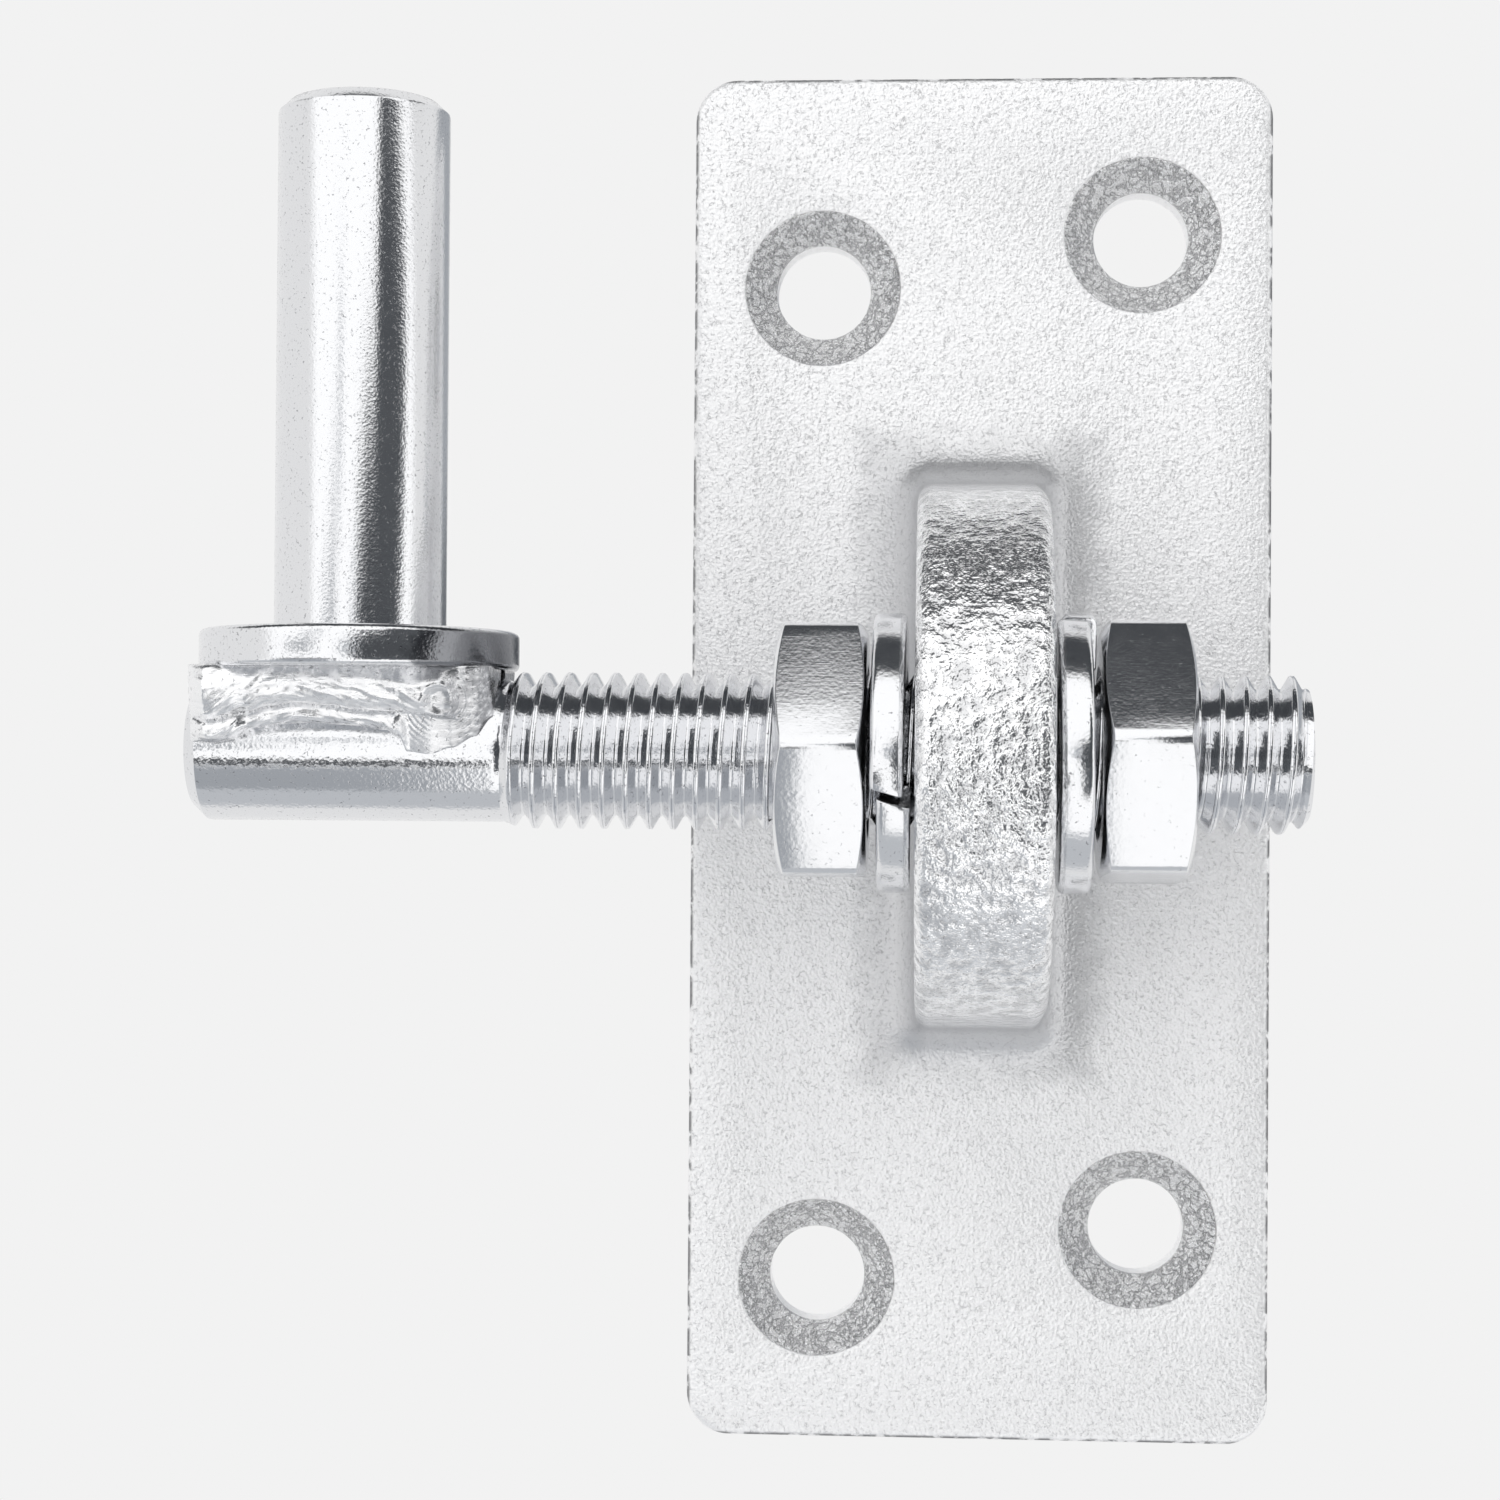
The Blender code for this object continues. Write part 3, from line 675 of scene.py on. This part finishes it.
class SCENE_OT_hook_plate_stage(Operator):
    """Add the floor, the studio light and the camera"""
    bl_idname = "scene.hook_plate_stage"
    bl_label = "Studio"

    def execute(self, context):
        studio = context.scene.studio_settings
        floor = bmesh.new()
        bmesh.ops.create_circle(floor, cap_ends=True, cap_tris=False, segments=96, radius=0.6,
                                matrix=Matrix.Translation((0, -0.02, studio.floor)))
        mesh = bpy.data.meshes.new("studio_floor")
        floor.to_mesh(mesh)
        floor.free()
        mesh.materials.append(floor_material(studio.backdrop * studio.floor_tone))
        ground = bpy.data.objects.new("studio_floor", mesh)
        ground.visible_glossy = False
        ground.visible_diffuse = False
        context.scene.collection.objects.link(ground)

        camera_data = bpy.data.cameras.new("studio_camera")
        camera_data.lens = studio.lens
        camera_data.sensor_width = 36
        camera_data.clip_start = 0.01
        camera_data.clip_end = 10
        camera = bpy.data.objects.new("studio_camera", camera_data)
        camera.location = CAMERA_PLACE
        camera.rotation_euler = tuple(math.radians(turn) for turn in CAMERA_TURN)
        context.scene.collection.objects.link(camera)
        context.scene.camera = camera
        context.scene.world = studio_world(studio.backdrop, studio.fill)
        context.scene.view_settings.view_transform = "Standard"
        return {"FINISHED"}


class Nodes:
    """Short calls that add and join nodes in one tree."""

    def __init__(self, tree):
        self.tree = tree

    def add(self, kind, inputs=None, **settings):
        node = self.tree.nodes.new(kind)
        for name, value in settings.items():
            setattr(node, name, value)
        for name, value in (inputs or {}).items():
            self.put(node.inputs[name], value)
        return node

    def put(self, socket, value):
        if isinstance(value, bpy.types.NodeSocket):
            self.tree.links.new(value, socket)
        else:
            socket.default_value = value

    def math(self, operation, *values, clamp=False):
        node = self.add("ShaderNodeMath", operation=operation, use_clamp=clamp)
        for socket, value in zip(node.inputs, values):
            self.put(socket, value)
        return node.outputs[0]

    def join(self, operation, values):
        """One operation over all the values, from the first to the last."""
        made = values[0]
        for value in values[1:]:
            made = self.math(operation, made, value)
        return made

    def times(self, *values):
        return self.join("MULTIPLY", values)

    def plus(self, *values):
        return self.join("ADD", values)

    def most(self, *values):
        return self.join("MAXIMUM", values)

    def minus(self, first, second):
        return self.math("SUBTRACT", first, second)

    def rest(self, value):
        """What a value leaves of 1."""
        return self.minus(1.0, value)

    def size(self, value):
        return self.math("ABSOLUTE", value)

    def ramp(self, value, low, high):
        """0 below low and 1 above high."""
        return self.add("ShaderNodeMapRange", {"Value": value, "From Min": low, "From Max": high},
                        interpolation_type="SMOOTHSTEP").outputs["Result"]

    def spread(self, value, low, high):
        """Map 0 to 1 onto low to high."""
        values = {"Value": value, "To Min": low, "To Max": high}
        return self.add("ShaderNodeMapRange", values).outputs["Result"]

    def mix(self, share, first, second):
        node = self.add("ShaderNodeMix", {0: share, 6: first, 7: second}, data_type="RGBA")
        return node.outputs[2]

    def noise(self, vector, scale, detail=2.0, roughness=0.5):
        return self.add("ShaderNodeTexNoise", {"Vector": vector, "Scale": scale, "Detail": detail,
                                               "Roughness": roughness}).outputs["Fac"]

    def lines(self, value, thin, thick):
        """1 on the lines where a noise passes through its middle, and 0 off them."""
        return self.rest(self.ramp(self.size(self.minus(value, 0.5)), thin, thick))

    def ragged(self, value, reach):
        """A noise as lengths from minus half of reach to half of it, which makes a border uneven."""
        return self.times(self.minus(value, 0.5), reach)

    def stretch(self, vector, along_rod, turn=(0, 0, 0)):
        """Coordinates in which a texture runs along the rod."""
        node = self.add("ShaderNodeMapping", {"Vector": vector, "Scale": (along_rod, 1, 1), "Rotation": turn})
        return node.outputs["Vector"]

    def axes(self, vector):
        return self.add("ShaderNodeSeparateXYZ", {"Vector": vector}).outputs


def rgba(colour):
    return (*colour, 1)


def group(name, inputs, outputs):
    """A node group with named sockets, built once."""
    tree = bpy.data.node_groups.new(name, "ShaderNodeTree")
    for label, kind, value in inputs:
        socket = tree.interface.new_socket(label, in_out="INPUT", socket_type=kind)
        if value is not None:
            socket.default_value = value
    for label, kind in outputs:
        tree.interface.new_socket(label, in_out="OUTPUT", socket_type=kind)
    nodes = Nodes(tree)
    return nodes, nodes.add("NodeGroupInput").outputs, nodes.add("NodeGroupOutput")


def grain_group():
    """Granular surface: a height for the bump, a mask of fine dark curved pits, and a slow change of tone."""
    if "Metal Grain" in bpy.data.node_groups:
        return bpy.data.node_groups["Metal Grain"]
    inputs = (("Vector", "NodeSocketVector", None), ("Scale", "NodeSocketFloat", 2500.0),
              ("Pits", "NodeSocketFloat", 0.3))
    outputs = (("Height", "NodeSocketFloat"), ("Fleck", "NodeSocketFloat"), ("Tone", "NodeSocketFloat"))
    nodes, given, out = group("Metal Grain", inputs, outputs)
    vector, scale = given["Vector"], given["Scale"]
    fine = nodes.noise(vector, scale, 3.0, 0.6)
    cells = nodes.add("ShaderNodeTexVoronoi", {"Vector": vector, "Scale": scale}, feature="F1")
    coarse = nodes.noise(vector, nodes.times(scale, 0.35), 2.0, 0.5)
    curves = nodes.lines(nodes.noise(vector, nodes.times(scale, 0.6), 2.0, 0.55), 0.008, 0.035)
    patch = nodes.noise(vector, nodes.times(scale, 0.9), 1.0, 0.5)
    edge = nodes.minus(0.66, nodes.times(given["Pits"], 0.3))
    shown = nodes.math("MULTIPLY", nodes.minus(patch, edge), 9.0, clamp=True)
    pit = nodes.times(curves, shown)
    height = nodes.plus(nodes.times(fine, 0.7), nodes.times(cells.outputs["Distance"], 0.5),
                        nodes.times(coarse, 0.5))
    nodes.put(out.inputs["Height"], nodes.minus(height, nodes.times(pit, 0.35)))
    nodes.put(out.inputs["Fleck"], pit)
    nodes.put(out.inputs["Tone"], coarse)
    return nodes.tree


def new_material(name):
    made = bpy.data.materials.new(name)
    made.use_nodes = True
    nodes = Nodes(made.node_tree)
    shader = made.node_tree.nodes["Principled BSDF"]
    where = nodes.add("ShaderNodeTexCoord").outputs["Object"]
    return made, nodes, shader, where


def use_grain(nodes, where, scale, pits):
    values = {"Vector": where, "Scale": scale, "Pits": pits}
    return nodes.add("ShaderNodeGroup", values, node_tree=grain_group()).outputs


def flecked(nodes, colour, fleck, share):
    colours = bpy.context.scene.finish_colours
    return nodes.mix(nodes.times(fleck, share), rgba(colour), rgba(colours.fleck))


def finish(nodes, shader, colour, roughness, height, depth, metallic=1.0):
    made = nodes.add("ShaderNodeBump", {"Height": height, "Distance": depth, "Strength": 1.0})
    values = {"Base Color": colour, "Roughness": roughness, "Metallic": metallic,
              "Normal": made.outputs["Normal"]}
    for name, value in values.items():
        nodes.put(shader.inputs[name], value)


def plating(piece_name):
    """Bright plating: a fine granular skin that breaks reflections up, with a few dark flecks."""
    name, tint_name, scale, pits, depth, roughness = PLATINGS[piece_name]
    made, nodes, shader, where = new_material(name)
    grain = use_grain(nodes, where, scale, pits)
    base = flecked(nodes, getattr(bpy.context.scene.finish_colours, tint_name), grain["Fleck"], 0.75)
    if piece_name == "collar":
        # The collar gets a painted dark reflection on its right side.
        base = collar_painted_reflection(nodes, where, base)
    finish(nodes, shader, base, nodes.spread(grain["Tone"], *roughness), grain["Height"], depth)
    return made


# Each plating's name and colour, grains per metre, share of pits, depth of the grain and range of roughness.
PLATINGS = {
    "rod": ("Rolled bright zinc", "zinc", 3600.0, 0.2, 0.000016, (0.05, 0.16)),
    "pin": ("Bright zinc pin", "zinc", 4600.0, 0.3, 0.000013, (0.08, 0.18)),
    "collar": ("Bright zinc collar", "zinc", 4200.0, 0.35, 0.000015, (0.08, 0.18)),
    "washer": ("Zinc spring steel", "spring", 3400.0, 0.15, 0.000012, (0.08, 0.2)),
}


def countersinks(nodes, parts, sizes):
    """1 inside the four countersinks."""
    nearest = None
    for x, z in screw_places(sizes):
        across, up = nodes.minus(parts["X"], x), nodes.minus(parts["Z"], z)
        distance = nodes.math("SQRT", nodes.plus(nodes.times(across, across), nodes.times(up, up)))
        nearest = distance if nearest is None else nodes.math("MINIMUM", nearest, distance)
    radius, soft = sizes.sink / 2, 0.0001
    within = nodes.rest(nodes.ramp(nearest, radius - soft, radius + soft))
    ahead = nodes.times(parts["Y"], -1.0)
    bottom = sizes.thickness - sizes.sink_depth
    return nodes.times(within, nodes.ramp(ahead, bottom - 0.0004, bottom))


def plate_rim(nodes, where, parts):
    """1 on a broken line along the plate's outline."""
    reach = (plate_high - plate_low) / 2
    sides = [nodes.ramp(nodes.size(parts[axis]), half - 0.0004, half - 0.0001)
             for axis, half in (("X", reach.x), ("Z", reach.z))]
    broken = nodes.ramp(nodes.noise(where, 700.0, 3.0, 0.6), 0.40, 0.54)
    return nodes.times(nodes.most(*sides), broken)


def ear_foot(nodes, where, parts, sizes):
    """1 on an uneven patch round the ear's foot, where shading is painted."""
    beside = nodes.minus(nodes.size(parts["X"]), sizes.ear / 2)
    above = nodes.minus(nodes.size(parts["Z"]), sizes.nose + 0.0012)
    uneven = nodes.ragged(nodes.noise(where, 450.0, 4.0, 0.65), 0.005)
    return nodes.rest(nodes.ramp(nodes.plus(nodes.most(beside, above), uneven), 0.0026, 0.0064))


def casting_material():
    """Galvanised skin: fine grains on the plate, netted countersinks, painted shading in the countersinks, on
    the fillet and round the ear's foot, and a coarse worn ear.
    """
    sizes, colours = bpy.context.scene.plate_sizes, bpy.context.scene.finish_colours
    made, nodes, shader, where = new_material("Galvanised casting")
    grain = use_grain(nodes, where, 3500.0, 0.5)
    parts = nodes.axes(where)
    front = sizes.thickness
    ahead = nodes.times(parts["Y"], -1.0)
    at_front = nodes.ramp(ahead, front - 0.0009, front - 0.0003)
    raised = nodes.ramp(ahead, front + 0.0001, front + 0.0012)
    nose = nodes.ramp(ahead, front + 0.005, front + 0.009)
    behind_nose = nodes.rest(nose)
    inside = countersinks(nodes, parts, sizes)
    rim = nodes.times(plate_rim(nodes, where, parts), at_front)
    # Where shading is painted round the ear's foot.
    foot = nodes.times(ear_foot(nodes, where, parts, sizes), at_front, behind_nose)
    lumps = nodes.noise(where, 820.0, 3.0, 0.55)
    worn = nodes.times(nodes.rest(nodes.ramp(lumps, 0.38, 0.56)), nose)
    net = nodes.times(nodes.lines(nodes.noise(where, 1200.0, 2.0, 0.6), 0.01, 0.06), inside)

    pitted = nodes.plus(0.26, nodes.times(nodes.most(inside, nose), 0.25))
    tone = flecked(nodes, colours.casting, grain["Fleck"], pitted)
    # All towards one grey: painted shading in the countersinks, on the fillet and the ear's lower sides, and
    # round the ear's foot; random worn patches on the ear's nose.
    wear_and_painted_shade_share = nodes.most(nodes.times(inside, 0.10), nodes.times(raised, behind_nose, 0.40),
                      nodes.times(foot, 0.36), nodes.times(worn, 0.35))
    tone = nodes.mix(wear_and_painted_shade_share, tone, rgba(colours.wear_and_painted_shade))
    marks = nodes.most(nodes.times(rim, 0.9), nodes.times(net, 0.35))
    tone = nodes.mix(marks, tone, rgba(colours.mark))

    metallic = nodes.spread(nodes.most(inside, raised, rim), 0.5, 0.97)
    even = nodes.spread(grain["Tone"], 0.28, 0.42)
    roughness = nodes.minus(even, nodes.times(nodes.most(nose, inside), 0.18))
    coarse = nodes.plus(nodes.rest(nodes.times(raised, 0.45)), nodes.times(inside, 2.4))
    height = nodes.plus(nodes.times(grain["Height"], coarse), nodes.times(lumps, nose, 4.0))
    height = nodes.minus(height, nodes.times(net, 1.8))
    finish(nodes, shader, tone, roughness, height, 0.0001, metallic)
    return made


def collar_painted_reflection(nodes, where, plain_tone):
    """Paint a dark reflection on the right side of the collar's rim, above the weld's end."""
    middle = (collar_low.x + collar_high.x) / 2
    reach = (collar_high.x - collar_low.x) / 2
    parts = nodes.axes(where)
    uneven = nodes.ragged(nodes.noise(where, 900.0, 3.0, 0.6), 0.003)
    right = nodes.ramp(nodes.plus(parts["X"], uneven), middle + reach * 0.44, middle + reach * 0.56)
    below_top = nodes.ramp(nodes.minus(collar_high.z, parts["Z"]), 0.0001, 0.0004)
    # Painted dark reflection: the collar's right side, below its top.
    darkened = nodes.times(right, below_top, 0.95)
    return nodes.mix(darkened, plain_tone, rgba(bpy.context.scene.finish_colours.collar_painted_reflection))


def weld_material():
    """Plated weld metal: streaks along the strands over the granular skin, darker in streaks towards its
    right end near the thread.
    """
    colours = bpy.context.scene.finish_colours
    made, nodes, shader, where = new_material("Plated weld metal")
    grain = use_grain(nodes, where, 2400.0, 0.35)
    streaks = nodes.noise(nodes.stretch(where, 0.3), 2600.0, 3.0, 0.6)
    right = nodes.ramp(nodes.axes(where)["X"], -0.0425, -0.0372)
    darkened = nodes.times(right, nodes.ramp(streaks, 0.25, 0.60), 0.75)
    tone = flecked(nodes, colours.weld, grain["Fleck"], 0.6)
    tone = nodes.mix(darkened, tone, rgba(colours.weld_dark_end))
    height = nodes.plus(nodes.times(grain["Height"], 0.4), nodes.times(streaks, 1.2))
    finish(nodes, shader, tone, nodes.spread(grain["Tone"], 0.18, 0.36), height, 0.00004)
    return made


def nut_material(name, side):
    """Bright zinc with fine brushed lines along the rod and a few faint scratches."""
    made, nodes, shader, where = new_material("Brushed zinc " + name)
    grain = use_grain(nodes, where, 3000.0, 0.1)
    brushed = nodes.noise(nodes.stretch(where, 0.12), 9000.0, 2.0, 0.6)
    slanted = nodes.stretch(where, 0.1, (0.6, 0.3, 0.9 * side))
    scratch = nodes.ramp(nodes.noise(slanted, 3200.0, 1.0, 0.5), 0.66, 0.74)
    tone = flecked(nodes, bpy.context.scene.finish_colours.zinc, grain["Fleck"], 0.4)
    height = nodes.plus(nodes.times(grain["Height"], 0.9), nodes.times(brushed, 0.35),
                        nodes.times(scratch, 0.15))
    finish(nodes, shader, tone, nodes.spread(grain["Tone"], 0.10, 0.20), height, 0.000011)
    return made


def floor_material(colour):
    made, nodes, shader, where = new_material("Studio floor")
    cloud = nodes.noise(where, 3.0, 1.0, 0.4)
    cloudy = nodes.mix(nodes.times(cloud, 0.01), rgba(colour), (0.8, 0.8, 0.8, 1))
    nodes.put(shader.inputs["Base Color"], cloudy)
    shader.inputs["Roughness"].default_value = 0.9
    shader.inputs["Specular IOR Level"].default_value = 0.0
    return made


def band_group():
    """One lit or dark band of the studio, laid over a colour."""
    limits = ("Tilt", "Side", "Tilt Low", "Tilt High", "Side Low", "Side High")
    inputs = (("Colour", "NodeSocketColor", None),
              *((label, "NodeSocketFloat", 0.0) for label in limits),
              ("Softness", "NodeSocketFloat", 5.0), ("Share", "NodeSocketFloat", 1.0),
              ("Band", "NodeSocketColor", None))
    nodes, given, out = group("Studio Band", inputs, (("Colour", "NodeSocketColor"),))
    masks = []
    for label in ("Tilt", "Side"):
        low = nodes.minus(given[label], given[label + " Low"])
        high = nodes.minus(given[label + " High"], given[label])
        inside = nodes.math("MINIMUM", low, high)
        masks.append(nodes.ramp(nodes.math("DIVIDE", inside, given["Softness"]), -0.5, 0.5))
    share = nodes.times(*masks, given["Share"])
    nodes.put(out.inputs["Colour"], nodes.mix(share, given["Colour"], given["Band"]))
    return nodes.tree


def studio_world(backdrop, fill):
    """Even light for matte surfaces, the backdrop for the camera, and with bands for polished metal."""
    world = bpy.data.worlds.new("Soft studio")
    world.use_nodes = True
    nodes = Nodes(world.node_tree)
    background = world.node_tree.nodes["Background"]
    direction = nodes.axes(nodes.add("ShaderNodeTexCoord").outputs["Generated"])
    ahead = nodes.times(direction["Y"], -1.0)
    tilt = nodes.times(nodes.math("ARCTAN2", direction["Z"], ahead), math.degrees(1))
    side = nodes.times(nodes.math("ARCSINE", direction["X"]), math.degrees(1))
    rays = nodes.add("ShaderNodeLightPath").outputs
    seen = nodes.most(rays["Is Camera Ray"], rays["Is Glossy Ray"], rays["Is Transmission Ray"])
    colour = nodes.mix(seen, (fill, fill, fill, 1), rgba(backdrop))
    tree = band_group()
    for name, tilts, sides, softness, level in STUDIO_BANDS:
        cool = 0.08 * (1 - level) if level < 1 else 0
        values = {"Colour": colour, "Tilt": tilt, "Side": side, "Tilt Low": tilts[0], "Tilt High": tilts[1],
                  "Side Low": sides[0], "Side High": sides[1], "Softness": softness,
                  "Share": rays["Is Glossy Ray"],
                  "Band": (level * (1 - cool), level, level * (1 + 1.4 * cool), 1)}
        colour = nodes.add("ShaderNodeGroup", values, node_tree=tree, label=name).outputs["Colour"]
    nodes.put(background.inputs["Color"], colour)
    return world


class VIEW3D_PT_hook_plate(Panel):
    bl_label = "Hook Plate"
    bl_idname = "VIEW3D_PT_hook_plate"
    bl_space_type = "VIEW_3D"
    bl_region_type = "UI"
    bl_category = "Hook Plate"

    def draw(self, context):
        scene = context.scene
        for title, settings, buttons in PANEL_ROWS:
            box = self.layout.box()
            box.label(text=title)
            values = getattr(scene, settings)
            for key in values.bl_rna.properties.keys():
                if key not in ("rna_type", "name"):
                    box.prop(values, key)
            for button in buttons:
                box.operator(button)


PANEL_ROWS = (
    ("Plate", "plate_sizes", ("mesh.hook_plate_casting",)),
    ("Hook", "hook_sizes", ("mesh.hook_plate_rod", "mesh.hook_plate_pin")),
    ("Welds", "weld_sizes", ("mesh.hook_plate_welds",)),
    ("Nuts", "nut_sizes", ("mesh.hook_plate_nuts",)),
    ("Spring washers", "washer_sizes", ("mesh.hook_plate_washers",)),
    ("Finishes", "finish_colours", ()),
    ("Studio", "studio_settings", ("scene.hook_plate_stage",)),
)

SETTINGS = (
    ("plate_sizes", PlateSizes),
    ("hook_sizes", HookSizes),
    ("nut_sizes", NutSizes),
    ("washer_sizes", WasherSizes),
    ("weld_sizes", WeldSizes),
    ("finish_colours", FinishColours),
    ("studio_settings", StudioSettings),
)

CLASSES = tuple(kind for _, kind in SETTINGS) + (
    MESH_OT_hook_plate_casting,
    MESH_OT_hook_plate_rod,
    MESH_OT_hook_plate_pin,
    MESH_OT_hook_plate_welds,
    MESH_OT_hook_plate_nuts,
    MESH_OT_hook_plate_washers,
    SCENE_OT_hook_plate_stage,
    VIEW3D_PT_hook_plate,
)


def register():
    for kind in CLASSES:
        bpy.utils.register_class(kind)
    for name, kind in SETTINGS:
        setattr(bpy.types.Scene, name, PointerProperty(type=kind))


def unregister():
    for name, _ in SETTINGS:
        delattr(bpy.types.Scene, name)
    for kind in reversed(CLASSES):
        bpy.utils.unregister_class(kind)


def main():
    register()
    bpy.ops.mesh.hook_plate_casting()
    bpy.ops.mesh.hook_plate_rod()
    bpy.ops.mesh.hook_plate_pin()
    bpy.ops.mesh.hook_plate_welds()
    bpy.ops.mesh.hook_plate_nuts()
    bpy.ops.mesh.hook_plate_washers()
    bpy.ops.scene.hook_plate_stage()


if __name__ == "__main__":
    main()
